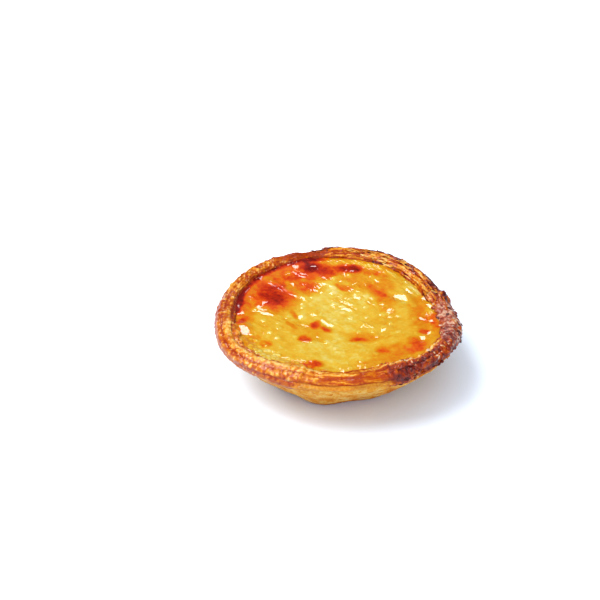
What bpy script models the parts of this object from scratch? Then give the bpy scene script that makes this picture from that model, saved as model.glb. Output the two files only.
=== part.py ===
"""An egg tart: a cup of laminated pastry, filled with baked egg custard.

Metres, +Z up. The origin is the middle of the footprint, on the face that the tart rests on.
Angles run anticlockwise from +X, seen from above, and -Y is the front.
"""

import math

import bmesh
import bpy

MM = 0.001

# The pastry cup, as a section through one side of it. Radii are from the tart's axis.
RIM_RADIUS = 40.0 * MM  # outermost edge of the rim, before the uneven hand shaping
CREST_HEIGHT = 21.85 * MM  # top of the rim
RIM_HALF_WIDTH = 3.35 * MM  # the rim's cross-section is most of an ellipse
RIM_HALF_HEIGHT = 2.75 * MM
RIM_STARTS = math.radians(-62)  # where the ellipse leaves the outer wall
RIM_ENDS = math.radians(165)  # the lip, where the custard begins
BASE_RADIUS = 21.2 * MM  # flat part of the base
CORNER_RADIUS = 1.7 * MM
WALL_BULGE = 0.2 * MM  # the outer wall swells this far past a straight cone
FLOOR_THICKNESS = 2.8 * MM
INNER_FLOOR_RADIUS = 19.4 * MM
LIP_DROP = 1.7 * MM  # how far the inner wall falls from the lip before it slants in
LIP_UNDERCUT = 0.3 * MM

# Pastry pressed by thumb into a tin is never round, nor is its rim level:
# (waves in a turn, height of the wave, angle of a peak).
OUTLINE_WAVES = (
    (2, 0.40 * MM, math.radians(-71)),
    (3, 0.63 * MM, math.radians(-41)),
    (4, 0.49 * MM, math.radians(-39)),
    (5, 0.37 * MM, math.radians(-14)),
    (6, 0.15 * MM, math.radians(-25)),
)
CREST_WAVES = (
    (1, 0.31 * MM, math.radians(172)),
    (2, 0.59 * MM, math.radians(-77)),
    (3, 0.26 * MM, math.radians(-32)),
    (8, 0.12 * MM, math.radians(12)),
)

# The sheet of pastry is rolled up and sliced, so its layers run round the rim as one spiral.
FOLDS = 4  # layers seen across the rim
FOLD_DEPTH = 0.50 * MM
FOLD_DRIFT = 0.22  # how far, in layers, a fold wanders from a true spiral
# Where the strip of pastry overlaps itself, the rim stands out:
# (angle it starts, angle it ends, how far).
OVERLAPS = (
    (math.radians(-67), math.radians(28), 0.45 * MM),
    (math.radians(150), math.radians(254), 0.25 * MM),
)
OVERLAP_RAMP = math.radians(9)

# The custard fills the cup up to just under the crest.
CUSTARD_GAP = 0.36 * MM  # clearance between the two solids
SHOULDER_RISE = 0.75 * MM  # the skin turns down at the pastry
SHOULDER_POWER = 7
CENTRE_SAG = 1.3 * MM  # it sinks as it cools
# Blisters that puffed up under the grill: (angle, distance from the axis, width, height).
BLISTERS = (
    (math.radians(152), 23.0 * MM, 8.5 * MM, 0.9 * MM),
    (math.radians(103), 28.0 * MM, 6.5 * MM, 0.7 * MM),
    (math.radians(80), 27.5 * MM, 6.0 * MM, 0.6 * MM),
    (math.radians(25), 21.0 * MM, 8.0 * MM, 0.6 * MM),
    (math.radians(256), 27.0 * MM, 5.5 * MM, 0.5 * MM),
)

# Facets
STEPS_ROUND = 108
STEPS_RIM = 21
STEPS_CORNER = 3
STEPS_WALL = 4
STEPS_CUSTARD = 9


def waves(angle, terms):
    """The sum of cosine waves round the tart, each with its own count, height and peak."""
    return sum(height * math.cos(count * (angle - peak)) for count, height, peak in terms)


def overlap(angle):
    """How far the rim stands out where the pastry lies double, with a short ramp at each end."""
    total = 0.0
    for start, end, height in OVERLAPS:
        middle, half = (start + end) / 2, (end - start) / 2
        away = abs(math.remainder(angle - middle, 2 * math.pi))
        ramp = min(1.0, max(0.0, (half - away) / OVERLAP_RAMP))
        total += height * ramp * ramp * (3 - 2 * ramp)
    return total


def rim_radius(angle):
    return RIM_RADIUS + waves(angle, OUTLINE_WAVES) + overlap(angle)


def crest_height(angle):
    return CREST_HEIGHT + waves(angle, CREST_WAVES)


def fold_relief(angle, share):
    """Height of the laminated folds at a share of the way over the rim, from the wall to the lip.

    Each fold is a round-backed ridge, and the valleys between two ridges are sharp. The count of
    folds shifts by one in a turn, which makes them one spiral that meets itself.
    """
    turn = angle / (2 * math.pi)
    drift = FOLD_DRIFT * (math.sin(2 * angle + 0.7) + 0.6 * math.sin(5 * angle + 2.1))
    across = abs(math.sin(math.pi * (FOLDS * share + turn + drift)))
    fade = min(1.0, 6 * share, 6 * (1 - share))
    return FOLD_DEPTH * fade * (math.sqrt(across) - 0.6)


def rim_section(angle):
    """(radius, height) points over the rim, from the outer wall up over the crest to the lip."""
    centre_r = rim_radius(angle) - RIM_HALF_WIDTH
    centre_z = crest_height(angle) - RIM_HALF_HEIGHT
    points = []
    for step in range(STEPS_RIM + 1):
        share = step / STEPS_RIM
        around = RIM_STARTS + share * (RIM_ENDS - RIM_STARTS)
        relief = fold_relief(angle, share)
        points.append(
            (
                centre_r + (RIM_HALF_WIDTH + relief) * math.cos(around),
                centre_z + (RIM_HALF_HEIGHT + relief) * math.sin(around),
            )
        )
    return points


def corner_section():
    """The rounded corner between the flat base and the slanting wall."""
    points = []
    for step in range(STEPS_CORNER + 1):
        around = math.radians(-90 + 45 * step / STEPS_CORNER)
        points.append(
            (
                BASE_RADIUS + CORNER_RADIUS * math.cos(around),
                CORNER_RADIUS * (1 + math.sin(around)),
            )
        )
    return points


def wall_section(start, end):
    """Points between the corner and the rim, on a line that swells a little in the middle."""
    points = []
    for step in range(1, STEPS_WALL + 1):
        share = step / (STEPS_WALL + 1)
        swell = WALL_BULGE * math.sin(math.pi * share)
        points.append(
            (
                start[0] + share * (end[0] - start[0]) + swell,
                start[1] + share * (end[1] - start[1]) - swell,
            )
        )
    return points


def inner_section(lip):
    """The inside of the cup, from just below the lip to the edge of its floor."""
    below_lip = (lip[0] - LIP_UNDERCUT, lip[1] - LIP_DROP)
    floor_edge = (INNER_FLOOR_RADIUS, FLOOR_THICKNESS)
    floor_corner = (INNER_FLOOR_RADIUS + CORNER_RADIUS, FLOOR_THICKNESS + 0.4 * CORNER_RADIUS)
    return [below_lip, floor_corner, floor_edge]


def custard_side(lip):
    """The custard's side and underside: the inside of the cup, set in by the gap."""
    side = [lip, *inner_section(lip), (0.0, FLOOR_THICKNESS)]
    points = []
    for before, here, after in zip(side, side[1:], side[2:]):
        along = (after[0] - before[0], after[1] - before[1])
        length = math.hypot(*along)
        # The cup's inside is walked downwards and inwards, so its free side is on the right.
        points.append(
            (
                here[0] + CUSTARD_GAP * along[1] / length,
                here[1] - CUSTARD_GAP * along[0] / length,
            )
        )
    return points


def blister_height(x, y):
    total = 0.0
    for angle, radius, width, height in BLISTERS:
        away = math.hypot(x - radius * math.cos(angle), y - radius * math.sin(angle))
        total += height * math.exp(-((2 * away / width) ** 2))
    return total


def custard_top(angle, edge):
    """Points over the custard's skin, from its edge in towards the axis."""
    mean_height = CREST_HEIGHT + edge[1] - crest_height(angle)
    points = []
    for step in range(STEPS_CUSTARD):
        share = 1 - step / STEPS_CUSTARD
        radius = edge[0] * share
        shoulder = SHOULDER_RISE * (1 - share**SHOULDER_POWER)
        sag = CENTRE_SAG * (1 - share**2) ** 2
        # The rim's waves fade towards the middle, where every angle meets.
        level = mean_height + (edge[1] - mean_height) * share**2
        relief = blister_height(radius * math.cos(angle), radius * math.sin(angle))
        points.append((radius, level + shoulder - sag + relief * (1 - share**SHOULDER_POWER)))
    return points


def shell_section(angle):
    rim = rim_section(angle)
    corner = corner_section()
    return corner + wall_section(corner[-1], rim[0]) + rim + inner_section(rim[-1])


def custard_section(angle):
    lip = rim_section(angle)[-1]
    side = custard_side(lip)
    edge = (lip[0] - CUSTARD_GAP, lip[1] - CUSTARD_GAP)
    return side[::-1] + custard_top(angle, edge)


def closed_body(name, section, bottom, top, material, parent):
    """A closed body: one section for each angle, joined all round, with a point at each end."""
    bm = bmesh.new()
    rings = []
    for step in range(STEPS_ROUND):
        angle = 2 * math.pi * step / STEPS_ROUND
        rings.append(
            [
                bm.verts.new((r * math.cos(angle), r * math.sin(angle), z))
                for r, z in section(angle)
            ]
        )
    low = bm.verts.new((0.0, 0.0, bottom))
    high = bm.verts.new((0.0, 0.0, top))
    for here, after in zip(rings, rings[1:] + rings[:1]):
        bm.faces.new((low, after[0], here[0]))
        for i in range(len(here) - 1):
            bm.faces.new((here[i], after[i], after[i + 1], here[i + 1]))
        bm.faces.new((high, here[-1], after[-1]))
    bmesh.ops.recalc_face_normals(bm, faces=bm.faces)
    mesh = bpy.data.meshes.new(name)
    bm.to_mesh(mesh)
    bm.free()
    mesh.materials.append(material)
    mesh.shade_smooth()
    mesh.set_sharp_from_angle(angle=math.radians(60))
    body = bpy.data.objects.new(name, mesh)
    bpy.context.scene.collection.objects.link(body)
    body.parent = parent
    return body


def food_material(name, colour, roughness):
    material = bpy.data.materials.new(name)
    material.use_nodes = True
    shader = material.node_tree.nodes["Principled BSDF"]
    shader.inputs["Base Color"].default_value = (*colour, 1.0)
    shader.inputs["Roughness"].default_value = roughness
    shader.inputs["Metallic"].default_value = 0.0
    return material


def footprint_middle():
    """The middle of the uneven rim's outline, seen from above."""
    angles = [2 * math.pi * step / STEPS_ROUND for step in range(STEPS_ROUND)]
    reach = [max(r for r, _ in rim_section(angle)) for angle in angles]
    across = [r * math.cos(angle) for r, angle in zip(reach, angles)]
    deep = [r * math.sin(angle) for r, angle in zip(reach, angles)]
    return (max(across) + min(across)) / 2, (max(deep) + min(deep)) / 2


def main():
    for old in list(bpy.data.objects):
        bpy.data.objects.remove(old)

    middle_x, middle_y = footprint_middle()
    tart = bpy.data.objects.new("egg_tart", None)
    tart.location = (-middle_x, -middle_y, 0.0)
    bpy.context.scene.collection.objects.link(tart)

    baked_pastry = food_material("baked_pastry", (0.52, 0.22, 0.05), 0.45)
    egg_custard = food_material("egg_custard", (0.86, 0.55, 0.06), 0.25)
    lip_height = CREST_HEIGHT + RIM_HALF_HEIGHT * (math.sin(RIM_ENDS) - 1)
    skin_middle = lip_height - CUSTARD_GAP + SHOULDER_RISE - CENTRE_SAG
    closed_body("pastry_shell", shell_section, 0.0, FLOOR_THICKNESS, baked_pastry, tart)
    closed_body(
        "custard",
        custard_section,
        FLOOR_THICKNESS + CUSTARD_GAP,
        skin_middle,
        egg_custard,
        tart,
    )


main()
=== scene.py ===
# %% [markdown]
# # An egg tart: laminated pastry and scorched custard
# An egg tart is a cup of puff pastry, pressed into a small tin and filled with egg custard. A very
# hot oven lifts the layers of the pastry, browns the rim and scorches the skin of the custard.
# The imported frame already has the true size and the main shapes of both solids. This lesson gives
# each of them the surface that baking leaves, then adds the loose flakes and crumbs of crust.

# %% Load the frame
import math

import bpy
import numpy as np
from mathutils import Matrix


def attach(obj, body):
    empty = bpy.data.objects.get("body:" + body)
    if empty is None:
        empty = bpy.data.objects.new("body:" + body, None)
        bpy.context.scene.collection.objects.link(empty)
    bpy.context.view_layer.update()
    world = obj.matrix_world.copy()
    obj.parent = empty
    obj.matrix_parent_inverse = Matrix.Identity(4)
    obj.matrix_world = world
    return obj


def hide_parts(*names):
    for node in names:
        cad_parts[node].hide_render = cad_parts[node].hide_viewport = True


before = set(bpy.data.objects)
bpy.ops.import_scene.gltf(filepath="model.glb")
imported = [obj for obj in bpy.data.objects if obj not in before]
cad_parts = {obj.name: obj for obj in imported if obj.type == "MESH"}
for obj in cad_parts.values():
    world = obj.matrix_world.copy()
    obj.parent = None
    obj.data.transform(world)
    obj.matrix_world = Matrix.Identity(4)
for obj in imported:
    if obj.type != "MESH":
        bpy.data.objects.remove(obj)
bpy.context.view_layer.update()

# %% [markdown]
# ## Colour and nodes
# Colours are written as sRGB hex, the way they are picked from a swatch. Blender's shaders work in
# linear light, so one function turns one into the other. A second small function adds a node with
# its settings and its links, which keeps each material readable from top to bottom.


# %% Helpers for materials
def linear(swatch):
    """sRGB to linear: v / 12.92 up to 0.04045, and ((v + 0.055) / 1.055) to the power 2.4 above."""
    v = np.array([int(swatch[i : i + 2], 16) for i in (1, 3, 5)]) / 255
    low, high = v / 12.92, ((v + 0.055) / 1.055) ** 2.4
    return (*np.where(v <= 0.04045, low, high).tolist(), 1.0)


def add(tree, kind, inputs=None, stops=None, **settings):
    """Adds a node. An input is a number or colour to set, or another node's socket to link."""
    made = tree.nodes.new("ShaderNode" + kind)
    for name, value in settings.items():
        setattr(made, name, value)
    for name, value in (inputs or {}).items():
        if isinstance(value, bpy.types.NodeSocket):
            tree.links.new(value, made.inputs[name])
        else:
            made.inputs[name].default_value = value
    if stops:
        ramp = made.color_ramp.elements
        while len(ramp) < len(stops):
            ramp.new(0.5)
        for stop, (place, swatch) in zip(ramp, stops):
            stop.position = place
            stop.color = linear(swatch)
    return made


def new_material(name):
    """An empty node tree with its output, ready for a surface."""
    material = bpy.data.materials.new(name)
    material.use_nodes = True
    material.node_tree.nodes.clear()
    return material, material.node_tree


# %% [markdown]
# ## Noise, as arrays
# Baked surfaces are uneven at every scale. Gradient noise gives smooth unevenness of one size, and
# a sum of it at halving sizes gives a natural roughness. Bubbles need another kind: one random
# centre in every cell of a grid, and a dome around each. Both are worked out for whole arrays of
# points in millimetres, so their sizes are real sizes, and both come from hashing whole numbers,
# so that every run gives the same tart.


# %% Noise helpers
def chance(cell, seed):
    """Three repeatable numbers from -1 to 1 for each cell (..., 3) of whole numbers, by hashing."""
    mixed = cell @ np.array([73856093, 19349663, 83492791]) + seed * 41299733
    mixed = (mixed ^ (mixed >> 15)) & 0xFFFFFFFF
    mixed = (mixed * 739982445 ^ (mixed >> 11)) & 0xFFFFFFFF
    mixed = (mixed * 695872825 ^ (mixed >> 14)) & 0xFFFFFFFF
    return np.stack([(mixed >> shift & 1023) / 511.5 - 1 for shift in (0, 10, 20)], -1)


def grain(points, size, seed=0):
    """Gradient noise, about -1 to 1: at each corner of a point's cell stands a random slope, and
    the slopes' heights at the point are mixed with the weight t * t * t * (t * (6 t - 15) + 10)."""
    scaled = points / size
    cell = np.floor(scaled).astype(np.int64)
    within = scaled - cell
    weight = within**3 * (within * (within * 6 - 15) + 10)
    total = np.zeros(points.shape[:-1])
    for corner in np.ndindex(2, 2, 2):
        slope = chance(cell + corner, seed)
        share = np.where(corner, weight, 1 - weight).prod(-1)
        total += share * (slope * (within - corner)).sum(-1)
    return total * 1.25


def rough(points, size, seed=0, octaves=4):
    """Gradient noise summed at halving sizes and halving heights."""
    return sum(
        grain(points + 7.3 * k, size / 2**k, seed + k) / 2**k for k in range(octaves)
    )


def ridged(points, size, seed=0, octaves=3):
    """Creases: 1 minus the size of the noise, squared, so thin ridges stand where it is zero."""
    return sum(
        (1 - np.abs(grain(points + 5.1 * k, size / 2**k, seed + k)) * 2).clip(0) ** 2 / 2**k
        for k in range(octaves)
    )


def bubbles(points, size, seed=0):
    """Domes, 0 to 1: the nearest of one random centre in each cell gives 1 - (distance / 0.62) ** 2.
    The second array is a random number from 0 to 1 that each dome keeps."""
    scaled = points / size
    cell = np.floor(scaled).astype(np.int64)
    near = np.full(points.shape[:-1], 9.0)
    own = np.zeros(points.shape[:-1])
    for step in np.ndindex(3, 3, 3):
        there = cell + step - 1
        jitter = chance(there, seed)
        away = ((there + 0.5 + 0.42 * jitter - scaled) ** 2).sum(-1)
        own = np.where(away < near, 0.5 + 0.5 * jitter[..., 0], own)
        near = np.minimum(near, away)
    return (1 - near / 0.62**2).clip(0), own


def smooth(value, low, high):
    """0 below low, 1 above high and t * t * (3 - 2 t) between them."""
    t = ((value - low) / (high - low)).clip(0, 1)
    return t * t * (3 - 2 * t)


def arc(degrees, start, end, ramp=12):
    """1 on the arc from start to end, fading to 0 within ramp degrees outside it."""
    half = (end - start) / 2
    away = np.abs((degrees - start - half + 180) % 360 - 180)
    return 1 - smooth(away, half, half + ramp)


# %% [markdown]
# ## Meshes from grids
# Every surface here is a grid of points with a rule for how its edges close. One function puts the
# arrays into a mesh, keeps named numbers on its vertices for the materials to read, and shades it
# smooth. Sizes stay in millimetres until this point.


# %% Mesh helpers
def quads(index):
    """The four-cornered faces between neighbouring rows and columns of a grid of vertex numbers."""
    around = index[:-1, :-1], index[1:, :-1], index[1:, 1:], index[:-1, 1:]
    return np.stack(around, -1).reshape(-1, 4)


def put_mesh(name, points, fours, threes, marks, material):
    """Makes the object: points in mm, arrays of faces, and marks, a number per vertex by name."""
    mesh = bpy.data.meshes.new(name)
    corners = np.concatenate([fours.ravel(), threes.ravel()]).astype(np.int32)
    starts = np.concatenate(
        [4 * np.arange(len(fours)), 4 * len(fours) + 3 * np.arange(len(threes))]
    )
    mesh.vertices.add(len(points))
    mesh.vertices.foreach_set("co", (points * 0.001).astype(np.float32).ravel())
    mesh.loops.add(len(corners))
    mesh.loops.foreach_set("vertex_index", corners)
    mesh.polygons.add(len(starts))
    mesh.polygons.foreach_set("loop_start", starts.astype(np.int32))
    mesh.update(calc_edges=True)
    mesh.shade_smooth()
    for mark, values in marks.items():
        kept = mesh.attributes.new(mark, "FLOAT", "POINT")
        kept.data.foreach_set("value", values.astype(np.float32).ravel())
    mesh.materials.append(material)
    piece = bpy.data.objects.new(name, mesh)
    bpy.context.scene.collection.objects.link(piece)
    size = points.max(0) - points.min(0)
    print(f"{name}: {2 * len(fours) + len(threes)} triangles,", size.round(1), "mm")
    return piece


# %% [markdown]
# ## The cup's section
# The pastry is a section carried round the tart's axis, as if turned, but with a radius and a
# height that wander. These are the same named sizes that the solids were made from, in mm, so the
# baked surface lies on the solid. The rim is most of an ellipse, and a spiral of four broad folds
# runs over it, because the dough is a rolled-up sheet that was cut into slices.

# %% Named sizes, in mm
RIM_RADIUS, CREST_HEIGHT = 40.0, 21.85
RIM_HALF_WIDTH, RIM_HALF_HEIGHT = 3.35, 2.75
RIM_STARTS, RIM_ENDS = math.radians(-62), math.radians(165)
BASE_RADIUS, CORNER_RADIUS, WALL_BULGE = 21.2, 1.7, 0.2
FLOOR_THICKNESS, INNER_FLOOR_RADIUS = 2.8, 19.4
LIP_DROP, LIP_UNDERCUT = 1.7, 0.3
OUTLINE_WAVES = ((2, 0.40, -71), (3, 0.63, -41), (4, 0.49, -39), (5, 0.37, -14), (6, 0.15, -25))
CREST_WAVES = ((1, 0.31, 172), (2, 0.59, -77), (3, 0.26, -32), (8, 0.12, 12))
OVERLAPS = ((-67, 28, 0.45), (150, 254, 0.25))
OVERLAP_RAMP = 9
BASE_WAVES = ((3, 0.25, 255), (5, 0.25, 250))
BASE_DENTS = ((280, 24, 1.4), (236, 16, 1.2), (325, 20, 0.5), (60, 25, 0.8), (150, 20, 0.6))
LIP_SPREADS = ((282, 304, 14, 1.9), (252, 275, 10, 0.7), (196, 236, 12, 0.5))
FOLDS, FOLD_DEPTH, FOLD_DRIFT = 4, 0.50, 0.22


# %% The rim's outline, its crest and its folds
def waves(angle, terms):
    """The sum of cosine waves round the tart: (waves in a turn, height, angle of a peak)."""
    return sum(h * np.cos(n * (angle - math.radians(peak))) for n, h, peak in terms)


def rim_radius(angle):
    """The wandering radius, pushed out where the strip of dough overlaps itself."""
    double = 0.0
    for start, end, height in OVERLAPS:
        inset = OVERLAP_RAMP
        double = double + height * arc(np.degrees(angle), start + inset, end - inset, inset)
    return RIM_RADIUS + waves(angle, OUTLINE_WAVES) + double


def crest_height(angle):
    """The wandering height of the top of the rim."""
    return CREST_HEIGHT + waves(angle, CREST_WAVES)


def fold_phase(angle, share):
    """Counts the broad folds across the rim. It gains one in a turn, which makes them a spiral."""
    drift = FOLD_DRIFT * (np.sin(2 * angle + 0.7) + 0.6 * np.sin(5 * angle + 2.1))
    return FOLDS * share + angle / (2 * math.pi) + drift


def rim_section(angle, share):
    """(radius, height) over the rim: an ellipse, swollen by round-backed folds that fade at the
    wall and at the lip. share runs from 0 at the wall to 1 at the lip."""
    around = RIM_STARTS + share * (RIM_ENDS - RIM_STARTS)
    fade = np.minimum(1, np.minimum(6 * share, 6 * (1 - share)))
    back = np.sqrt(np.abs(np.sin(math.pi * fold_phase(angle, share))))
    relief = FOLD_DEPTH * fade * (back - 0.6)
    radius = rim_radius(angle) - RIM_HALF_WIDTH + (RIM_HALF_WIDTH + relief) * np.cos(around)
    height = crest_height(angle) - RIM_HALF_HEIGHT + (RIM_HALF_HEIGHT + relief) * np.sin(around)
    return radius, height


# %% [markdown]
# ## The cup as a grid
# One parameter runs round the tart and the other up the section: base, rounded corner, slanting
# wall, rim, and the hidden inside of the cup. Three quarters of the rows are spent on the rim,
# where baking shows most.

# %% Build the smooth cup
STEPS_ROUND, WALL_ROWS, RIM_ROWS = 1280, 20, 46
angle = np.linspace(0, 2 * math.pi, STEPS_ROUND, endpoint=False)[:, None]


def cup_grid():
    """Rows of (radius, height) from the base's edge to the floor's edge, turned into points.
    Also gives each row's place on the wall and on the rim, from 0 to 1, or -1 off it."""
    flat = np.ones_like(angle)
    turn = np.radians(np.linspace(-90, -45, 4))
    base = BASE_RADIUS + waves(angle, BASE_WAVES)
    for place, width, depth in BASE_DENTS:
        base = base - depth * arc(np.degrees(angle), place, place, width)
    corner = base + CORNER_RADIUS * np.cos(turn), flat * CORNER_RADIUS * (1 + np.sin(turn))
    wall = np.arange(1, WALL_ROWS) / WALL_ROWS
    over = np.linspace(0, 1, RIM_ROWS)
    rim = rim_section(angle, over)
    spread = sum(d * arc(np.degrees(angle), a, b, ramp) for a, b, ramp, d in LIP_SPREADS)
    rim = rim[0] - spread * smooth(over, 0.62, 1.0), rim[1] + 0.15 * spread * smooth(over, 0.7, 1)
    swell = WALL_BULGE * np.sin(math.pi * wall)
    slant = [
        corner[i][:, -1:] * (1 - wall) + rim[i][:, :1] * wall + swell * (1, -1)[i]
        for i in (0, 1)
    ]
    lip = rim[0][:, -1:], rim[1][:, -1:]
    inner = (
        np.hstack([lip[0] - LIP_UNDERCUT, flat * (INNER_FLOOR_RADIUS + CORNER_RADIUS)]),
        np.hstack([lip[1] - LIP_DROP, flat * (FLOOR_THICKNESS + 0.4 * CORNER_RADIUS)]),
    )
    first = flat * BASE_RADIUS / 2, flat * 0
    last = flat * INNER_FLOOR_RADIUS, flat * FLOOR_THICKNESS
    radius, height = (
        np.hstack([first[i], corner[i], slant[i], rim[i], inner[i], last[i]])
        for i in (0, 1)
    )
    before = 1 + len(turn)
    on_wall = np.full(radius.shape[1], -1.0)
    on_wall[before : before + len(wall)] = wall
    on_rim = np.full(radius.shape[1], -1.0)
    on_rim[before + len(wall) : before + len(wall) + RIM_ROWS] = over
    points = np.stack([radius * np.cos(angle), radius * np.sin(angle), height], -1)
    return points, on_wall, on_rim


cup, on_wall, on_rim = cup_grid()
axis = -(cup.min((0, 1)) + cup.max((0, 1)))[:2] / 2
print("smooth cup:", cup.shape, "axis in the row frame, mm:", axis.round(2))

# %% [markdown]
# ## What baking does to the rim
# The rim isn't the same all round. In front it was pressed smooth, and the thin layers show as
# level lines. On the left steam has blown it into small bubbles. At the back and the right the
# layers came apart into strands, and the lower right is burnt to a dark, rough crust. Each zone is
# an arc with soft ends, and each kind of relief gets its height from the zones it belongs to.

# %% Zones round the rim
degrees = np.degrees(angle)
front = arc(degrees, 256, 291, 8)
burnt = arc(degrees, 296, 380, 8)
strands = arc(degrees, 25, 150, 20)
bubbly = arc(degrees, 122, 252, 14)


# %% Relief of the pastry
def strand_space(across, along_size, across_size):
    """Places for noise drawn out along the rim: the tart's circle shrunk to radius 38 / along_size
    and the distance across the rim divided by across_size, so the noise meets itself in a turn."""
    around = 38.0 / along_size
    flat = np.broadcast_to(across / across_size, (len(angle), across.shape[-1]))
    ring = np.cos(angle) * around + 0 * flat, np.sin(angle) * around + 0 * flat
    return np.stack([*ring, flat], -1)


RIM_ARC = 12.1  # mm over the rim, from the wall to the lip
WALL_LENGTH = 22.6


def sheet_edges(across, count, seed):
    """Thin sheets of dough, one over the next: a sawtooth of the distance across, whose steps
    wander with the noise. Gives the height, 0 to 1, and how near a sheet's free edge is."""
    wander = 1.4 * grain(strand_space(across, 9, 2.4), 1, seed)
    wander += 0.5 * grain(strand_space(across, 3, 1.2), 1, seed + 1)
    phase = (across * count + 2 * angle / (2 * math.pi) + wander) % 1
    return np.where(phase < 0.85, phase / 0.85, (1 - phase) / 0.15), phase


across_rim = on_rim[None] * RIM_ARC
sheets, sheet_phase = sheet_edges(across_rim, 1.15, 11)
strand = ridged(strand_space(across_rim, 5, 1.1), 1, 21)
leaves = ridged(strand_space(across_rim, 6, 0.8), 1, 23)
large_bubbles, large_own = bubbles(cup, 2.6, 31)
small_bubbles, small_own = bubbles(cup, 1.3, 32)
crust = rough(cup, 1.5, 41)
lumps = rough(cup, 6.0, 51, 2)
crumbly, crumb_own = bubbles(cup, 0.8, 33)
chunks, chunk_own = bubbles(cup, 2.0, 34)
beads, bead_own = bubbles(strand_space(across_rim, 1.6, 1.1), 1, 35)
beads = smooth(beads, 0.1, 0.8) * smooth(bead_own + 0.5 * lumps, 0.4, 1.0)

on_edge = on_rim >= 0
inner_lip = smooth(on_rim, 0.72, 0.95)[None]
quiet = 1 - 0.55 * front
blown = large_bubbles * smooth(large_own, 0.4, 1.0)
outer = 1 - smooth(on_rim, 0.25, 0.5)[None]
fine_relief = (
    sheets * (0.12 * front + 0.24 * strands + 0.20 * bubbly + 0.10 * burnt)
    + strand * (0.20 * strands + 0.04 * front + 0.08 * bubbly + 0.10 * burnt)
    + blown * (0.38 * bubbly * (1 - 0.6 * outer) + 0.75 * burnt)
    + small_bubbles * (small_own > 0.6) * (0.08 * bubbly + 0.12 * burnt + 0.03)
    + 0.10 * beads * bubbly
    + 0.12 * leaves * front
    + smooth(chunks, 0.1, 0.6) * chunk_own * 0.55 * burnt
    + crust * (0.28 * burnt + 0.05 * strands + 0.02)
)
# On the right of the rim a patch of dry, pale crust: its pinkish-grey tint is partly painted sheen,
# standing in for whitish reflections on the rough crust.
pale_crust_and_sheen = arc(degrees, 342, 366, 8) * (smooth(on_rim, 0.20, 0.34) - smooth(on_rim, 0.84, 0.94))
pale_crust_and_sheen = pale_crust_and_sheen * (0.25 + 0.75 * smooth(rough(cup, 2.8, 79, 3), -0.22, 0.08))
fine_relief = fine_relief * (1 - 0.35 * pale_crust_and_sheen)
ragged = degrees + 1.6 * grain(cup, 2.2, 53)
laps = smooth(ragged, 225, 250) * (1 - smooth(ragged, 252, 254))
laps = laps + smooth(ragged, 293.5, 295.5) * (1 - smooth(ragged, 298, 318))
shrunk = 1.2 * arc(degrees, 99, 104, 8) + 0.5 * arc(degrees, 110, 160, 10)
shrunk = shrunk + outer * (1.1 * arc(degrees, 312, 338, 10) + 0.7 * arc(degrees, 285, 305, 12))
shrunk = shrunk - 0.5 * arc(degrees, 344, 356, 10) * outer
rim_relief = (
    0.25 * lumps
    - shrunk
    + 0.45 * laps
    + fine_relief
    + 0.30 * front * (smooth(on_rim, 0.35, 0.38) - 1)[None]
    + inner_lip * (0.7 * rough(cup, 3.2, 52, 2) + 0.9 * blown * (0.3 + bubbly) - 0.1)
    * (1 - arc(degrees, 100, 170, 12))
    - 0.25
)
across_wall = on_wall[None] * WALL_LENGTH
wall_sheets, wall_phase = sheet_edges(across_wall, 0.25, 12)
wall_relief = 0.16 * wall_sheets + 0.32 * rough(cup, 7.0, 61, 3) + 0.04 * crust
wall_relief = wall_relief * (on_wall >= 0) * smooth(on_wall, 0, 0.15)
relief = rim_relief * on_edge + wall_relief
print("relief of the rim, mm:", rim_relief[:, on_rim >= 0].min().round(2), "to",
      rim_relief[:, on_rim >= 0].max().round(2))


# %% Push the cup out along its normals
def normals(grid):
    """Unit normals: the cross product of the steps round the tart and up the section."""
    around = np.roll(grid, -1, 0) - np.roll(grid, 1, 0)
    up = np.gradient(grid, axis=1)
    out = np.cross(around, up)
    return out / np.linalg.norm(out, axis=-1, keepdims=True).clip(1e-9)


cup_normals = normals(cup)
baked_cup = cup + cup_normals * relief[..., None]
baked_cup[..., :2] += axis

# %% [markdown]
# ## How brown the pastry is, with painted shade and glints
# One number per vertex says how brown it is, from 0, pale, to 1, burnt. It also carries painted
# light: darker in the hollows of the relief, in the grooves between the folds and on the rim's
# inner slope past the crest, which is painted shade, paler on the raised tops, and pale specks
# that are painted glints. The wall stood against the tin and stays golden.

# %% Browning of the pastry
patches = rough(cup, 4.5, 71, 3)
specks = rough(cup, 0.9, 72, 2)
ash_and_sheen_noise = smooth(rough(cup, 1.2, 77, 3), -0.12, 0.16)
bands = grain(strand_space(across_rim, 11, 1.9), 1, 74)
bands = bands + 0.5 * grain(strand_space(across_rim, 5, 0.9), 1, 75)
pits, pit_own = bubbles(cup, 1.2, 73)
pits = smooth(pits, 0.2, 0.9) * (pit_own > 0.75)
spots, spot_own = bubbles(cup, 1.6, 76)
spots = smooth(spots, 0.1, 0.7) * (spot_own > 0.74)
folds_here = np.abs(np.sin(math.pi * fold_phase(angle, on_rim[None])))


def line(share, place, width):
    """A soft line across the rim at a share: exp(-((share - place) / width) ** 2)."""
    return np.exp(-(((share - place) / width) ** 2))[None]


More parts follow.
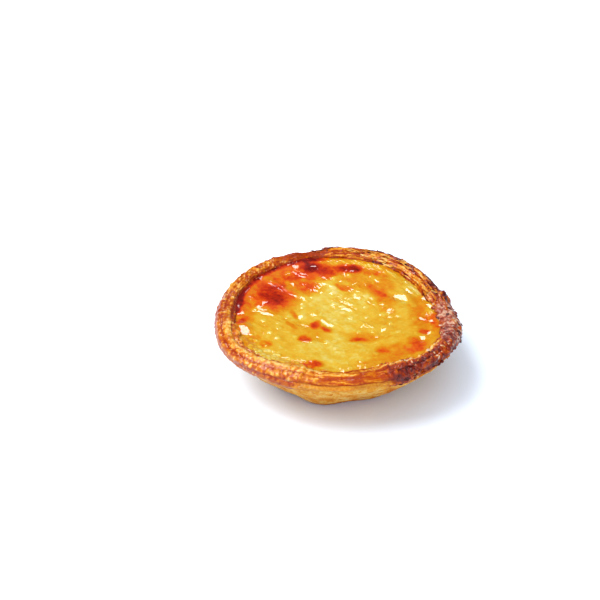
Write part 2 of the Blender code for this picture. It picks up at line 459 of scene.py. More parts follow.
pressed = arc(degrees, 257, 291, 9)
border = on_rim[None] + 0.03 * rough(cup, 7.0, 78, 2)
# Painted glints: pale specks on the burnt crust and on the bubbly left, which stand in for small
# highlights.
painted_glint_specks = smooth(crumbly, 0.20, 0.60) * (crumb_own > 0.89 - 0.07 * bubbly)
painted_glint_specks = painted_glint_specks * (arc(degrees, 306, 380, 6) + 0.45 * bubbly)
rim_browning_and_painted_light = (
    0.44
    + 0.22 * smooth(ragged, 293, 296) * (1 - smooth(ragged, 340, 350))
    + 0.14 * arc(degrees, 340, 385, 10)
    + 0.20 * arc(degrees, 15, 110, 12)
    - 0.01 * arc(degrees, 132, 248, 14)
    + 0.10 * arc(degrees, 14, 55, 10)
    + 0.05 * arc(degrees, 250, 296, 8)
    + 0.24 * arc(degrees, 100, 168, 8) * smooth(on_rim, 0.80, 0.94)[None]
    - 0.16 * arc(degrees, 196, 262, 10) * smooth(on_rim, 0.45, 0.70)[None]
    - 0.10 * arc(degrees, 170, 250, 12) * smooth(on_rim, 0.60, 0.85)[None]
    - 0.32 * arc(degrees, 258, 340, 8) * line(on_rim, 0.82, 0.07) * (1 + 1.5 * patches)
    - 0.30 * (leaves - 0.74) * front
    + 0.09 * arc(degrees, 274, 292, 6)
    - 0.26 * arc(degrees, 294, 328, 6) * line(on_rim, 0.84, 0.07)
    - 0.30 * arc(degrees, 260, 276, 6) * np.exp(-(((border - 0.66) / 0.025) ** 2))
    + 0.24 * arc(degrees, 272, 294, 5) * np.exp(-(((border - 0.38) / 0.02) ** 2))
    # Painted highlight: a pale line along the edge of the step at the foot of the pressed band.
    - 0.16 * pressed * np.exp(-(((border - 0.42) / 0.015) ** 2))
    - 0.30 * arc(degrees, 14, 92, 10) * smooth(border, 0.50, 0.62)
    + 0.12 * arc(degrees, 12, 88, 10) * outer
    + 0.12 * arc(degrees, 98, 146, 8)
    + 0.32 * arc(degrees, 12, 100, 10) * smooth(sheet_phase, 0.68, 0.88)
    # Painted shade: browner on the inner slope past the crest, at the left and front.
    + 0.24 * arc(degrees, 170, 262, 10) * smooth(on_rim, 0.76, 0.86)[None]
    # Painted shade: browner in the grooves between the broad folds.
    + 0.12 * arc(degrees, 150, 258, 8) * (1 - smooth(folds_here + 0.4 * patches, 0.0, 0.50))
    - 0.10 * (folds_here - 0.6)
    # Painted shade: browner where the relief is low, paler where it is raised.
    - 0.40 * (fine_relief - 0.20) * quiet * (1 - 0.4 * burnt) * (1 - 0.25 * bubbly)
    + 0.16 * patches
    + 0.34 * bands * (1 - 0.5 * burnt) * (1 - 0.4 * front) * (1 - 0.65 * bubbly)
    + 0.30 * bands * arc(degrees, 15, 90, 12)
    + 0.16 * specks * quiet
    + 0.20 * pits * quiet * (1 - bubbly)
    - 0.12 * spots * (bubbly + 0.5 * strands)
    - 0.18 * (beads - 0.2) * bubbly
    + 0.20 * (chunk_own - 0.5) * burnt
)
# In that patch the colour moves towards a pinkish grey: partly pale dry crust, partly painted sheen.
# The pale specks become the palest tone: painted glints.
rim_browning_and_painted_light = rim_browning_and_painted_light + (0.62 - 0.48 * ash_and_sheen_noise - rim_browning_and_painted_light) * 0.80 * pale_crust_and_sheen
rim_browning_and_painted_light = rim_browning_and_painted_light + (-0.03 - rim_browning_and_painted_light) * painted_glint_specks
ash_and_sheen = pale_crust_and_sheen * (0.10 + 0.60 * ash_and_sheen_noise) + 0.5 * painted_glint_specks
# Painted reflection: the same pinkish-grey tint on the outer side of the left rim, for the sheen of the
# bright surround.
ash_and_sheen = ash_and_sheen + 0.30 * arc(degrees, 186, 226, 12) * outer * smooth(specks, -0.3, 0.3)
rim_browning_and_painted_light = np.minimum(rim_browning_and_painted_light, 0.84 - 0.26 * arc(degrees, 80, 250, 10) - 0.30 * front)
rim_browning_and_painted_light = rim_browning_and_painted_light + (0.24 + 0.10 * patches - rim_browning_and_painted_light) * pressed * (1 - smooth(border, 0.33, 0.37))
wall_brown = 0.20 + 0.18 * patches + 0.08 * specks + 0.16 * (wall_phase - 0.5)
wall_brown = wall_brown + 0.32 * (1 - smooth(on_wall, 0.0, 0.14)) * (on_wall >= 0)
wall_brown = np.maximum(wall_brown, 0.11)
rim_browning_and_painted_light = np.maximum(rim_browning_and_painted_light, 0.12 - 0.14 * arc(degrees, 300, 375, 8))
browning_and_painted_light = np.where(on_rim[None] >= 0, rim_browning_and_painted_light, wall_brown)
browning_and_painted_light = np.where((on_rim[None] < 0) & (on_wall[None] < 0), 0.35, browning_and_painted_light)
glaze = smooth(patches + 0.7 * bubbly + 0.6 * burnt + 0.3, -0.2, 0.5) * (on_rim >= 0) * quiet
glaze = glaze * (1 - 0.6 * arc(degrees, 70, 150, 12))

# %% [markdown]
# ## Material: baked puff pastry
# Puff pastry is flour and butter in hundreds of thin layers. Heat turns its surface from cream
# through gold to dark brown. It is matt where it is dry, and shiny where butter and sugar have
# glazed it, so the roughness follows the glaze and a clear coat carries the small sharp glints.
# Its fine flaking, about 0.4 mm, is too fine for the mesh and is left to a bump.

# %% Pastry material
# The first stop, a pinkish grey, is also the colour of the painted glint specks.
PASTRY_BROWNING = (
    (0.00, "#B19A89"),
    (0.10, "#C09A4C"),
    (0.22, "#BA791E"),
    (0.36, "#A05203"),
    (0.52, "#8C3002"),
    (0.68, "#64180A"),
    (0.84, "#3E0908"),
    (1.00, "#140302"),
)


def pastry_material(name):
    """Browning and painted light from the vertices, plus fine noise, pick the colour. The glaze sets
    the gloss.
    """
    material, tree = new_material(name)
    place = add(tree, "TexCoord").outputs["Object"]
    brown_and_painted_light = add(tree, "Attribute", attribute_name="browning_and_painted_light").outputs["Fac"]
    shine = add(tree, "Attribute", attribute_name="glaze").outputs["Fac"]
    flecks = add(tree, "TexNoise", {"Vector": place, "Scale": 1400.0, "Detail": 3.0})
    spread = add(tree, "MapRange", {"Value": flecks.outputs["Fac"], "From Min": 0.3,
                 "From Max": 0.7, "To Min": -0.06, "To Max": 0.06})
    level = add(tree, "Math", {0: brown_and_painted_light, 1: spread.outputs["Result"]}, operation="ADD")
    crust_colour = add(tree, "ValToRGB", {"Fac": level.outputs[0]}, PASTRY_BROWNING)
    # The pinkish-grey tint #A28A80 is mixed in where the vertices ask for it: partly pale dry crust,
    # partly painted sheen and painted glints.
    ashy_sheen = add(tree, "Attribute", attribute_name="ash_and_sheen").outputs["Fac"]
    colour = add(tree, "Mix", {0: ashy_sheen, 6: crust_colour.outputs["Color"], 7: linear("#A28A80")},
                 data_type="RGBA")
    dry = add(tree, "MapRange", {"Value": shine, "To Min": 0.62, "To Max": 0.35})
    wet = add(tree, "MapRange", {"Value": shine, "To Min": 0.06, "To Max": 0.58})
    bump = add(tree, "Bump", {"Height": flecks.outputs["Fac"], "Strength": 0.35, "Distance": 0.0002})
    surface = add(tree, "BsdfPrincipled", {
        "Base Color": colour.outputs[2], "Roughness": dry.outputs["Result"],
        "Normal": bump.outputs["Normal"], "IOR": 1.4, "Specular IOR Level": 0.04,
        "Coat Weight": wet.outputs["Result"], "Coat Roughness": 0.14, "Coat IOR": 1.4,
    })
    add(tree, "OutputMaterial", {"Surface": surface.outputs[0]})
    return material


baked_pastry = pastry_material("baked_puff_pastry")


# %% Put the pastry in
def ring_mesh_faces(rounds, rows, first=0):
    """Quads between all rows, closed round the tart, and fans to two poles after the grid."""
    index = first + np.arange(rounds * rows).reshape(rounds, rows)
    index = np.vstack([index, index[:1]])
    low, high = first + rounds * rows, first + rounds * rows + 1
    bottom = np.stack([np.full(rounds, low), index[1:, 0], index[:-1, 0]], -1)
    top = np.stack([np.full(rounds, high), index[:-1, -1], index[1:, -1]], -1)
    return quads(index), np.vstack([bottom, top])


def with_poles(values, low, high):
    """A grid's values in one list, with those of the two poles after them."""
    return np.concatenate([np.broadcast_to(values, cup.shape[:2]).ravel(), [low, high]])


poles = np.array([[*axis, 0.0], [*axis, FLOOR_THICKNESS]])
fours, threes = ring_mesh_faces(*cup.shape[:2])
pastry = put_mesh(
    "pastry_crust",
    np.vstack([baked_cup.reshape(-1, 3), poles]),
    fours,
    threes,
    {"browning_and_painted_light": with_poles(browning_and_painted_light, 0.35, 0.35), "glaze": with_poles(glaze, 0, 0),
     "ash_and_sheen": with_poles(ash_and_sheen, 0, 0)},
    baked_pastry,
)
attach(pastry, "root")
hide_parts("pastry_shell")

# %% [markdown]
# ## Loose flakes and crumbs
# Layers that came apart leave slivers standing on the rim: long pale ones on the right at the
# back, short dark chips where the crust is burnt. Each is a closed chip, a flat tube that narrows
# to a tip at both ends and curls up. Rings of six points along a short arc make one, and one array
# makes them all.

# %% Chips as arrays
CHIP_RINGS, CHIP_SIDES = 4, 6
rim_first = int(np.argmax(on_rim >= 0))
surface_normals = normals(baked_cup)


def chips(seed, count, start, end, shares, sizes, turned, curl, tones):
    """Chips on the rim between two angles, in degrees. sizes are the ranges of length, width and
    thickness in mm. With t from 0 to 1 along a chip, its middle line is length * (t - 0.5), raised
    by curl * length * (2 t - 1) ** 2, and its half width is width / 2 * sin(pi t) ** 0.6."""
    draw = np.random.default_rng(seed)
    round_place = np.radians(draw.uniform(start, end, count))
    column = (round_place / (2 * math.pi) * STEPS_ROUND).astype(int) % STEPS_ROUND
    row = rim_first + (draw.uniform(*shares, count) * (RIM_ROWS - 1)).astype(int)
    foot, out = baked_cup[column, row], surface_normals[column, row]
    around = np.stack([-np.sin(round_place), np.cos(round_place), 0 * round_place], -1)
    around -= out * (around * out).sum(-1, keepdims=True)
    around /= np.linalg.norm(around, axis=-1, keepdims=True)
    yaw = draw.normal(0, math.radians(turned), count)[:, None]
    along = np.cos(yaw) * around + np.sin(yaw) * np.cross(out, around)
    side = np.cross(out, along)
    length, width, thick = (draw.uniform(*size, count)[:, None, None, None] for size in sizes)
    t = np.linspace(0, 1, CHIP_RINGS + 2)[None, :, None, None]
    around_ring = np.arange(CHIP_SIDES)[None, None, :, None] * 2 * math.pi / CHIP_SIDES
    narrow = np.sin(math.pi * t) ** 0.6 * draw.uniform(0.7, 1.2, (count, CHIP_RINGS + 2, 1, 1))
    tilt = draw.uniform(-0.06, 0.06, count)[:, None, None, None]
    rise = length * (curl * (2 * t - 1) ** 2 + tilt * (t - 0.5))
    along, side, out, foot = (v[:, None, None] for v in (along, side, out, foot))
    rings = foot + along * length * (t - 0.5) + out * rise
    rings = rings + narrow * side * np.cos(around_ring) * width / 2
    rings = rings + narrow * out * np.sin(around_ring) * thick / 2
    tips = rings[:, [0, -1]].mean(2)
    points = np.concatenate([rings[:, 1:-1].reshape(count, -1, 3), tips], 1)
    tone = draw.uniform(*tones, (count, 1)) + draw.uniform(-0.08, 0.08, points.shape[:2])
    return points, tone


def put_chips(name, sets, material):
    """Joins sets of chips in one mesh. Every chip has the same faces, shifted to its own points."""
    points, tones = (np.concatenate(parts) for parts in zip(*sets))
    ring = np.arange(CHIP_RINGS * CHIP_SIDES).reshape(CHIP_RINGS, CHIP_SIDES)
    closed = np.hstack([ring, ring[:, :1]])
    low, high = CHIP_RINGS * CHIP_SIDES, CHIP_RINGS * CHIP_SIDES + 1
    first, last = closed[0], closed[-1]
    ends = [np.stack([0 * first[1:] + low, first[1:], first[:-1]], -1)]
    ends.append(np.stack([0 * last[1:] + high, last[:-1], last[1:]], -1))
    shift = (np.arange(len(points)) * points.shape[1])[:, None, None]
    fours = (quads(closed)[:, ::-1] + shift).reshape(-1, 4)
    threes = (np.vstack(ends) + shift).reshape(-1, 3)
    marks = {"browning_and_painted_light": tones.ravel(), "glaze": np.full(tones.size, 0.9)}
    marks["ash_and_sheen"] = np.zeros(tones.size)
    piece = put_mesh(name, points.reshape(-1, 3), fours, threes, marks, material)
    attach(piece, "root")


LONG, SLIM, THIN = (3.0, 6.5), (0.5, 1.0), (0.2, 0.35)
STOUT, BROAD, THICK = (1.4, 2.8), (0.9, 1.8), (0.3, 0.5)
put_chips("crust_flakes", (
    chips(1, 70, 16, 84, (0.55, 0.97), (LONG, SLIM, THIN), 5, 0.0, (0.10, 0.42)),
    chips(2, 90, 4, 112, (0.10, 0.65), (LONG, SLIM, THIN), 6, 0.0, (0.36, 0.75)),
    chips(3, 60, 299, 382, (0.05, 0.70), (STOUT, BROAD, THICK), 60, 0.0, (0.46, 0.85)),
    chips(4, 46, 338, 392, (0.00, 0.25), (STOUT, BROAD, THICK), 70, 0.08, (0.70, 0.95)),
), baked_pastry)
TINY = (0.4, 0.9)
put_chips("crust_crumbs", (
    chips(11, 30, -25, 25, (0.0, 0.40), (TINY, TINY, TINY), 90, 0.0, (0.60, 0.95)),
    chips(12, 20, 300, 345, (0.1, 0.95), (TINY, TINY, TINY), 90, 0.0, (0.05, 0.75)),
    chips(13, 30, 40, 110, (0.1, 0.80), (TINY, TINY, TINY), 90, 0.0, (0.45, 0.90)),
), baked_pastry)

# %% [markdown]
# ## The custard's skin
# The custard sets flat, domes in the oven and sinks again as it cools, so its skin is left with
# gentle waves, tight creases and blisters. A grid on a disc usually meets in a pole, where noise
# pinches. A square grid bent to a disc has none: x becomes x * sqrt(1 - y * y / 2), and the same
# for y. The disc's edge is then stretched to the rim's inner outline, and a short skirt and a base
# close the solid under it.

# %% Named sizes of the custard, in mm
CUSTARD_GAP, SHOULDER_RISE, SHOULDER_POWER, CENTRE_SAG = 0.36, 0.75, 9, 1.3
SKIN_REACH = 0.75  # the skin runs this far past the solid's edge, into the pastry
BLISTERS = (
    (160, 24.4, 8.5, 0.8),
    (103, 29.0, 6.0, 0.2),
    (80, 27.5, 6.0, 0.25),
    (25, 21.0, 8.0, 0.35),
    (256, 27.0, 5.5, 0.15),
)
SKIN_STEPS = 300


# %% The skin as a bent square
def skin_grid():
    """The bent square as (share of the way to the edge, angle), from the elliptical grid map."""
    line = np.linspace(-1, 1, SKIN_STEPS)
    a, b = np.meshgrid(line, line, indexing="ij")
    x, y = a * np.sqrt(1 - b * b / 2), b * np.sqrt(1 - a * a / 2)
    return np.hypot(x, y), np.arctan2(y, x)


def custard_edge(angle):
    """(radius, height) of the custard's edge: the rim's lip, less the gap."""
    radius, height = rim_section(angle, np.ones_like(angle))
    return radius - CUSTARD_GAP, height - CUSTARD_GAP


def custard_height(share, angle, x, y):
    """The edge's height, less its waves towards the middle, plus the shoulder, minus the sag, plus
    round blisters of height * exp(-(2 distance / width) ** 2)."""
    edge = custard_edge(angle)[1]
    mean = CREST_HEIGHT + edge - crest_height(angle)
    level = mean + (edge - mean) * share**2
    inside = 1 - share**SHOULDER_POWER
    blisters = 0.0
    for degree, radius, width, height in BLISTERS:
        turn = math.radians(degree)
        away = np.hypot(x - radius * math.cos(turn), y - radius * math.sin(turn))
        blisters = blisters + height * np.exp(-((2 * away / width) ** 2))
    return level + (SHOULDER_RISE + blisters) * inside - CENTRE_SAG * (1 - share**2) ** 2


share, turn = skin_grid()
clinging = arc(np.degrees(turn), 108, 168, 14) + 1.4 * arc(np.degrees(turn), 196, 258, 14)
clinging = np.maximum(clinging, 0.5 * arc(np.degrees(turn), 60, 110, 14))
clinging = clinging + 0.8 * arc(np.degrees(turn), 338, 376, 12)
reach = share * (custard_edge(turn)[0] + SKIN_REACH + 0.9 * clinging * share**12)
skin_x, skin_y = reach * np.cos(turn), reach * np.sin(turn)
skin_z = custard_height(share, turn, skin_x, skin_y)
skin_z = skin_z + 1.0 * clinging * smooth(share, 0.86, 0.98)
print("smooth skin, mm:", skin_z.min().round(2), "to", skin_z.max().round(2))

# %% [markdown]
# ## Places on the skin
# Some marks have places of their own. Each is (x, y, length, width, direction, strength), in mm and
# degrees, and a bell-shaped spot makes it. Noise warps the spots, so that no outline is an ellipse.

# %% Spots at named places
flat_place = np.stack([skin_x, skin_y, np.zeros_like(skin_x)], -1)
warp = np.stack([rough(flat_place + shift, 5.0, 81, 3) for shift in (0, 31.7)], -1)
warped_x, warped_y = skin_x + 1.1 * warp[..., 0], skin_y + 1.1 * warp[..., 1]


def marked(places, sharpness=2.0):
    """The largest of some bells: strength * exp(-(along ** 2 + across ** 2) ** (sharpness / 2))."""
    total = np.zeros_like(skin_x)
    for x, y, length, width, direction, strength in places:
        c, s = math.cos(math.radians(direction)), math.sin(math.radians(direction))
        along = (c * (warped_x - x) + s * (warped_y - y)) * 2 / length
        across = (c * (warped_y - y) - s * (warped_x - x)) * 2 / width
        bell = strength * np.exp(-((along**2 + across**2) ** (sharpness / 2)))
        total = np.maximum(total, bell)
    return total


SCORCHES = (
    (-21, 11, 20, 23, 0, 0.58),
    (-21.2, 12, 20, 24, 0, 0.68),
    (-21, 12, 18, 21, 0, 0.77),
    (-18, 16, 7, 9, 0, 0.72),
    (-30, 5, 10, 30, 0, 0.54),
    (-32, 7.5, 5, 12, 0, 0.74),
    (-31, -3, 5, 7, 0, 0.70),
    (-24, 18, 9, 9, 0, 0.68),
    (-13, 24, 29, 14, 20, 0.64),
    (-10, 18, 13, 10, 0, 0.58),
    (-8, 27.5, 18, 9, 0, 0.75),
    (-8.5, 28, 11, 9, 0, 0.86),
    (-3, 26, 10, 11, 0, 0.72),
    (5, 28, 12, 8, 10, 0.83),
    (4, 28, 15, 10, 0, 0.68),
    (12, 27, 12, 9, -30, 0.54),
    (7, 21, 24, 13, -30, 0.40),
    (14, 15.5, 14, 7, -50, 0.58),
    (16, 19, 11, 10, -40, 0.47),
    (15, 14.5, 9, 4, -50, 0.66),
    (3, 17.5, 8, 4, -15, 0.56),
    (17, 10, 10, 12, 0, 0.48),
    (17, 4.5, 8, 5, -20, 0.44),
    (28, 1.5, 12, 34, 0, 0.48),
    (32, -1, 5, 22, 0, 0.60),
    (28, -8, 5, 4, 0, 0.66),
    (25, -17, 14, 11, 40, 0.60),
    (15, -20, 10, 7, 25, 0.54),
    (18, -21, 28, 13, 38, 0.46),
    (23, -26, 9, 6, 35, 0.64),
    (10, -28, 14, 7, 12, 0.44),
    (7, -12.5, 7, 4, 0, 0.63),
    (9, -11.5, 15, 8, 0, 0.44),
    (-8, -28, 8, 5, 0, 0.70),
    (-12, -29, 18, 8, -15, 0.50),
    (6, -32, 16, 4, 8, 0.58),
    (-3, -32, 12, 4, -8, 0.50),
    (-7, -4.5, 5, 6, -25, 0.72),
    (-3.5, -6.5, 7, 4, -35, 0.62),
    (-10.5, -12.5, 7, 5, -20, 0.68),
    (-9, -7.5, 20, 13, -50, 0.34),
    (-14, 2.5, 9, 3, -55, 0.48),
    (-14.5, -4.5, 8, 3, -60, 0.50),
    (-29, -12, 10, 18, 30, 0.48),
    (-23, -16, 6, 5, 0, 0.58),
)
heated = marked(SCORCHES, 3.4)

# %% [markdown]
# ## Folds, puckers and bubbles
# Folds in the skin run in families: they slant across the left and the middle, and follow the rim
# on the right. Noise that is squeezed across a direction and drawn out along it makes such a
# family. A few larger puckers have places of their own, and in two places the skin lies flat and
# tipped, like a small window. Scorched skin is tighter than the rest.

# %% Relief of the skin


def drawn_out(direction, along, across):
    """The skin's places turned by direction and divided by a length along it and one across it."""
    c, s = math.cos(math.radians(direction)), math.sin(math.radians(direction))
    x, y = flat_place[..., 0], flat_place[..., 1]
    return np.stack([(c * x + s * y) / along, (c * y - s * x) / across, 0 * x], -1)


PUCKERS = (
    (-27, 10, 4, 1.5, -50, 0.3),
    (10, -4.5, 7, 1.4, -45, 0.3),
    (-17.5, 17, 12, 1.8, -38, 0.6),
)
LEVEL = (
    (-8, -30, 9, 5, 0, 0.8),
    (-9.5, 26.5, 8, 6, 0, 0.9),
)
TIPPED = (
    (-29.9, -8.6, 9, 6.5, -65, 1.0),
    (21.5, 12, 8, 5, -45, 1.0),
    (-23.5, 2, 8, 2.4, -20, 0.9),
    (-3, -3, 8, 3.0, -48, 0.9),
    (-10.7, -4, 6, 2.4, -40, 0.8),
    (-10, -14.5, 7, 2.0, -20, 0.8),
    (3.5, 5.0, 6, 2.0, -25, 0.8),
    (5.3, 26.8, 4, 2.2, 35, 0.9),
    (-13.7, 28.5, 3, 2.2, -60, 0.9),
    (15, -7.5, 5, 2.4, 40, 0.8),
    (28, -0.5, 4, 2.4, -50, 1.0),
    (31, -2.5, 3, 2, -60, 1.0),
    (27.5, -12.5, 5, 3, 70, 1.0),
    (29.5, -9, 3, 2, 60, 1.0),
    (29, 11, 6, 2, -55, 1.0),
    (24.5, 16, 6, 2, -45, 1.0),
    (31.5, 6, 5, 2, -65, 1.0),
    (11, 9, 3, 2, -30, 0.8),
    (7, 11.5, 4, 1.8, 0, 0.8),
    (1, -20.5, 4, 1.6, -30, 0.7),
)

mottle = rough(flat_place, 7.0, 101, 4)
right_side = smooth(skin_x - 0.4 * skin_y, 4, 18)
folds = rough(drawn_out(-48, 7.5, 2.9), 1, 91, 2) * (1 - right_side)
folds += rough(drawn_out(42, 7.5, 3.2), 1, 92, 2) * right_side
tight = smooth(rough(flat_place, 7.0, 96, 2), -0.1, 0.5)
pimples, pimple_own = bubbles(flat_place, 2.6, 98)
pimples = smooth(pimples, 0.2, 1.0) * (pimple_own > 0.72)
skin_degrees = np.degrees(turn)
foam, foam_own = bubbles(flat_place, 1.5, 93)
creased = np.exp(-(((reach - 32.0 - 1.0 * warp[..., 0]) / 1.6) ** 2))
creased = creased * arc(skin_degrees, 6, 90, 8) * smooth(warp[..., 1], -0.6, 0.2)
creased = creased * (0.4 + 0.6 * smooth(ridged(drawn_out(-48, 6.0, 1.1), 1, 109, 1), 0.5, 0.9))
foamy = smooth(reach + 2 * warp[..., 0], 27.5, 29.5)
foamy = foamy * (arc(skin_degrees, 205, 255, 12) + 0.5 * arc(skin_degrees, 268, 300, 8))
calm = 1 - 0.7 * smooth(heated, 0.35, 0.6)
wrinkles = ridged(drawn_out(-50, 5.5, 1.9), 1, 105, 1) * (1 - right_side)
wrinkles += ridged(drawn_out(42, 5.5, 1.9), 1, 107, 1) * right_side
wrinkles = smooth(wrinkles, 0.70, 1.0) * smooth(mottle, -0.1, 0.4)
skin_relief = (
    0.26 * rough(flat_place, 9.0, 95, 2)
    + 0.16 * folds * (0.4 + 0.8 * tight) * calm
    + 0.10 * pimples * calm
    + marked(PUCKERS) * 0.8
    + 0.24 * creased
    + 0.04 * wrinkles * calm
    + 0.03 * rough(flat_place, 2.2, 106, 2)
    + 0.03 * rough(flat_place, 1.8, 108, 2) * smooth(heated, 0.55, 0.75)
    + foamy * (0.28 * foam * smooth(foam_own, 0.2, 0.8) - 0.05)
)
skin_z = skin_z + skin_relief * (1 - smooth(share, 0.97, 1.0))
for places, tilt in ((LEVEL, 0), (TIPPED, 1)):
    for x, y, *spot in places:
        weight = marked([(x, y, *spot)], 4)
        height = skin_z[np.hypot(skin_x - x, skin_y - y) < 1.5].mean()
        slope_x, slope_y = tilt * (0.081 + 0.0019 * x), tilt * 0.107
        facet = height + slope_x * (skin_x - x) + slope_y * (skin_y - y)
        skin_z = skin_z + weight * (facet - skin_z)

# %% [markdown]
# ## Where the skin is scorched
# Sugar and egg brown first where the skin puffed up towards the grill, and along the hot pastry.
# Mottling and streaks break up what lies between the spots, and the tops of the folds stay paler.

# %% Scorching of the skin
streaks = rough(drawn_out(-50, 5, 1.3), 1, 102, 3) * (1 - right_side)
streaks += rough(drawn_out(42, 6, 1.4), 1, 103, 3) * right_side
edge_heat = 0.26 + 0.22 * arc(skin_degrees, 60, 205, 20) + 0.14 * arc(skin_degrees, -50, 10, 20)
base_tone = 0.14 + 0.10 * smooth(np.abs(skin_x + 2), 4, 18) + 0.09 * mottle
scorch = np.maximum(base_tone, edge_heat * smooth(reach + 2 * mottle, 23, 31))
scorch = np.maximum(scorch, heated)
scorch = scorch + 0.10 * mottle * smooth(scorch, 0.2, 0.6) + 0.04 * streaks
scorch = scorch + 0.08 * rough(flat_place, 2.6, 104, 3) - 0.10 * wrinkles * calm
scorch = scorch + 0.36 * smooth(share, 0.925, 0.97) * arc(skin_degrees, 100, 172, 10)
scorch = scorch - 0.10 * marked(PUCKERS) - 0.12 * pimples - 0.09 * folds * calm
scorch = (scorch - 0.40 * creased * (1 - smooth(heated, 0.5, 0.7))).clip(-1, 0.86)
scorch = scorch + foamy * (-0.03 - 0.24 * foam * (foam_own > 0.3))
print("scorching:", scorch.min().round(2), "to", scorch.max().round(2))

# %% [markdown]
# ## Material: baked egg custard
# Egg custard is a soft, cloudy gel under a thin shiny skin. Light goes a few millimetres in and
# comes out yellow, so the shader scatters under the surface. The skin is wet with butter and
# sugar, so a smooth clear coat gives small white glints. The scorched sugar goes from gold through
# orange and red to nearly black.

# %% Custard material
CUSTARD_SCORCHING = (
    (0.00, "#B9A25C"),
    (0.07, "#B09A42"),
    (0.16, "#B08D26"),
    (0.32, "#AD7B11"),
    (0.46, "#AB6503"),
    (0.60, "#AC3F01"),
    (0.72, "#951D00"),
    (0.86, "#5E0704"),
    (1.00, "#280204"),
)
egg_custard, tree = new_material("baked_egg_custard")
place = add(tree, "TexCoord").outputs["Object"]
burn = add(tree, "Attribute", attribute_name="scorch").outputs["Fac"]
fine = add(tree, "TexNoise", {"Vector": place, "Scale": 900.0, "Detail": 4.0})
spread = add(tree, "MapRange", {"Value": fine.outputs["Fac"], "From Min": 0.3,
             "From Max": 0.7, "To Min": -0.05, "To Max": 0.05})
level = add(tree, "Math", {0: burn, 1: spread.outputs["Result"]}, operation="ADD")
colour = add(tree, "ValToRGB", {"Fac": level.outputs[0]}, CUSTARD_SCORCHING)
bump = add(tree, "Bump", {"Height": fine.outputs["Fac"], "Strength": 0.12, "Distance": 0.0002})
surface = add(tree, "BsdfPrincipled", {
    "Base Color": colour.outputs["Color"], "Roughness": 0.4, "IOR": 1.4,
    "Specular IOR Level": 0.0, "Coat IOR": 1.35,
    "Normal": bump.outputs["Normal"], "Coat Weight": 0.65, "Coat Roughness": 0.04,
    "Subsurface Weight": 0.25, "Subsurface Scale": 0.0015,
    "Subsurface Radius": (1.0, 0.55, 0.15),
})
add(tree, "OutputMaterial", {"Surface": surface.outputs[0]})


# %% Close the custard and put it in
def border(grid):
    """The square grid's outer loop of values, once round, anticlockwise from above."""
    return np.concatenate([grid[:-1, 0], grid[-1, :-1], grid[:0:-1, -1], grid[0, :0:-1]])


skin = np.stack([skin_x, skin_y, skin_z], -1)
numbers = np.arange(SKIN_STEPS**2).reshape(SKIN_STEPS, SKIN_STEPS)
loop, loop_turn = border(numbers), border(turn)
lip_radius, lip_height = custard_edge(loop_turn)
floor_corner = INNER_FLOOR_RADIUS + CORNER_RADIUS, FLOOR_THICKNESS + 0.4 * CORNER_RADIUS
skirt_rows = (
    (lip_radius + 0.2, lip_height - LIP_DROP),
    (0 * loop_turn + floor_corner[0] - 0.1, 0 * loop_turn + floor_corner[1] + CUSTARD_GAP),
    (0 * loop_turn + INNER_FLOOR_RADIUS, 0 * loop_turn + FLOOR_THICKNESS + CUSTARD_GAP),
)
skirt = np.stack(
    [np.stack([r * np.cos(loop_turn), r * np.sin(loop_turn), z], -1) for r, z in skirt_rows], 1
)
points = np.vstack([skin.reshape(-1, 3), skirt.reshape(-1, 3),
                    [[0, 0, FLOOR_THICKNESS + CUSTARD_GAP]]])
points[:, :2] += axis
below = SKIN_STEPS**2 + np.arange(skirt.shape[0] * 3).reshape(-1, 3)
side = np.hstack([loop[:, None], below])
side = np.vstack([side, side[:1]])
pole = np.full(len(loop), len(points) - 1)
fours = np.vstack([quads(numbers), quads(side)[:, ::-1]])
threes = np.stack([pole, side[1:, -1], side[:-1, -1]], -1)
marks = {"scorch": np.concatenate([scorch.ravel(), np.full(len(points) - scorch.size, 0.3)])}
custard = put_mesh("custard_filling", points, fours, threes, marks, egg_custard)
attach(custard, "root")
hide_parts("custard")

# %% [markdown]
# ## Studio
# The tart stands on a plain white surface. A large soft light overhead, a little to the left,
# gives the short soft shadow on the right. A smaller bright light behind gives the glints on
# everything that is glazed, and an even white surround fills the shadows.

# %% Floor and lights
floor_mesh = bpy.data.meshes.new("floor")
floor_mesh.from_pydata([(-3, -3, 0), (3, -3, 0), (3, 3, 0), (-3, 3, 0)], [], [(0, 1, 2, 3)])
floor = bpy.data.objects.new("floor", floor_mesh)
bpy.context.scene.collection.objects.link(floor)
white, tree = new_material("white_table")
paper = add(tree, "TexNoise", {"Scale": 40.0, "Vector": add(tree, "TexCoord").outputs["Object"]})
tone = add(tree, "ValToRGB", {"Fac": paper.outputs["Fac"]}, ((0.3, "#E0E9F4"), (0.7, "#E2EBF6")))
matt = add(tree, "BsdfDiffuse", {"Color": tone.outputs["Color"]})
add(tree, "OutputMaterial", {"Surface": matt.outputs[0]})
floor_mesh.materials.append(white)


def softbox(name, toward, distance, width, brightness):
    """A square light of a width, at a distance from the tart along toward, facing it. Its power is
    pi * area * brightness, brightness being that of its surface, where 1 is white."""
    lamp = bpy.data.lights.new(name, "AREA")
    lamp.size = width
    lamp.energy = math.pi * width**2 * brightness
    lamp_object = bpy.data.objects.new(name, lamp)
    direction = np.array(toward) / np.linalg.norm(toward)
    lamp_object.location = direction * distance
    facing = math.atan2(math.hypot(direction[0], direction[1]), direction[2])
    lamp_object.rotation_euler = (0, facing, math.atan2(direction[1], direction[0]))
    bpy.context.scene.collection.objects.link(lamp_object)
    return lamp_object


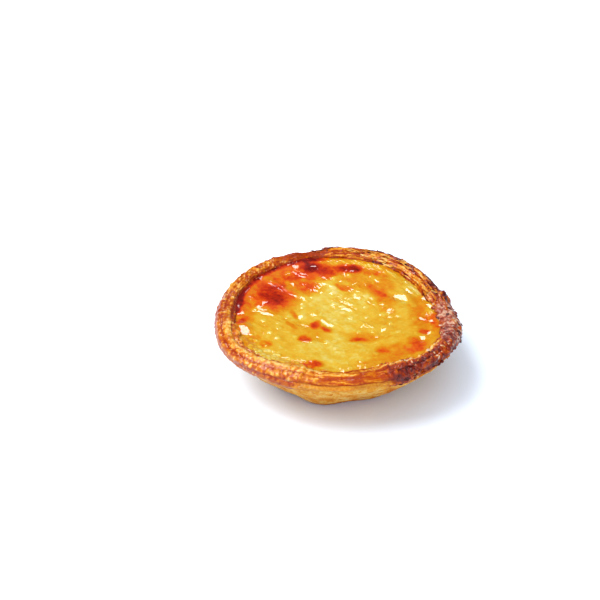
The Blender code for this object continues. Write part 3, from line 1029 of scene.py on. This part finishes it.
softbox("main_softbox", (-0.60, -0.08, 1.0), 1.5, 1.05, 8.7)
glint_light = softbox("back_light", (-0.12, 1.0, 1.05), 1.5, 0.20, 27.0)
glint_light.visible_diffuse = False
surround = bpy.data.worlds.new("surround")
surround.use_nodes = True
tree = surround.node_tree
tree.nodes.clear()
toward = add(tree, "SeparateXYZ", {"Vector": add(tree, "TexCoord").outputs["Generated"]})
upper = add(tree, "Math", {0: toward.outputs["Z"], 1: 0.0}, operation="MAXIMUM")
above = add(tree, "Math", {0: upper.outputs[0], 1: 3.0}, operation="POWER")
nearer = add(tree, "Math", {0: toward.outputs["Y"], 1: -1.0}, operation="MULTIPLY")
ahead = add(tree, "Math", {0: nearer.outputs[0], 1: 0.0}, operation="MAXIMUM")
low_fill = add(tree, "Math", {0: ahead.outputs[0], 1: 1.90, 2: 0.08}, operation="MULTIPLY_ADD")
sweep = add(tree, "MapRange", {
    "Value": toward.outputs["Z"], "From Max": 0.32, "To Min": 1.2, "To Max": 0.0,
})
level = add(
    tree, "Math", {0: above.outputs[0], 1: 1.5, 2: low_fill.outputs[0]}, operation="MULTIPLY_ADD"
)
level = add(tree, "Math", {0: level.outputs[0], 1: sweep.outputs["Result"]}, operation="ADD")
sky = add(tree, "Background", {"Color": linear("#F5F8FD"), "Strength": level.outputs[0]})
add(tree, "OutputWorld", {"Surface": sky.outputs[0]})
bpy.context.scene.world = surround

# %% [markdown]
# ## Camera
# A long lens from about 33 degrees above the table, so the tart shows its whole filling and only a
# little of its front wall.

# %% Camera
ELEVATION, DISTANCE, LENS = math.radians(33.4), 0.600, 109.6
target = np.array([0.0, 0.0, 0.012])
back = np.array([0, -math.cos(ELEVATION), math.sin(ELEVATION)])
up = np.array([0, math.sin(ELEVATION), math.cos(ELEVATION)])
camera_data = bpy.data.cameras.new("camera")
camera_data.lens = LENS
camera_data.clip_start = 0.01
camera = bpy.data.objects.new("camera", camera_data)
camera.location = target + back * DISTANCE + up * 0.01173 + np.array([-0.01195, 0, 0])
camera.rotation_euler = (math.pi / 2 - ELEVATION, 0, 0)
bpy.context.scene.collection.objects.link(camera)
bpy.context.scene.camera = camera
bpy.context.scene.view_settings.view_transform = "Standard"
